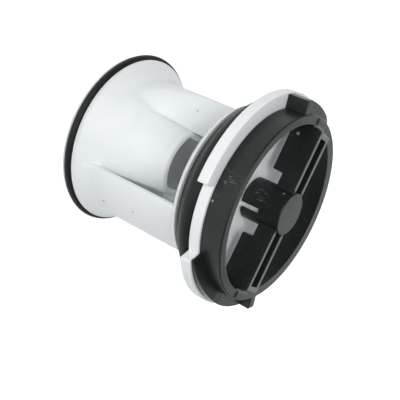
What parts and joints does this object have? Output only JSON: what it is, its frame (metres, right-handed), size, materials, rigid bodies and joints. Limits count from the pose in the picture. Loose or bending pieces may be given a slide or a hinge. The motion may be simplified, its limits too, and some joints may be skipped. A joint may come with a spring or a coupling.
{
  "type": "washer pump filter",
  "caption": "Washing machine drain pump filter: flared funnel body with side windows and bayonet flange, turn knob with a central grip, and rubber sealing rings.",
  "frame": {"origin": "on the filter's axis at the flat rear face of the rear rim", "axes": "+Z along the filter's axis from the rear rim to the turn knob, X along the grip, with the curved lower wall on the +X side, Y through the side windows"},
  "size_m": [0.0736, 0.0736, 0.0718],
  "materials": {
    "body_plastic": "satin moulded polypropylene",
    "knob_plastic": "satin moulded plastic",
    "seal_rubber": "moulded rubber"
  },
  "bodies": {
    "root": {"filter_body": "body_plastic", "turn_knob": "knob_plastic", "front_seal": "seal_rubber", "rear_o_ring": "seal_rubber"}
  },
  "joints": []
}
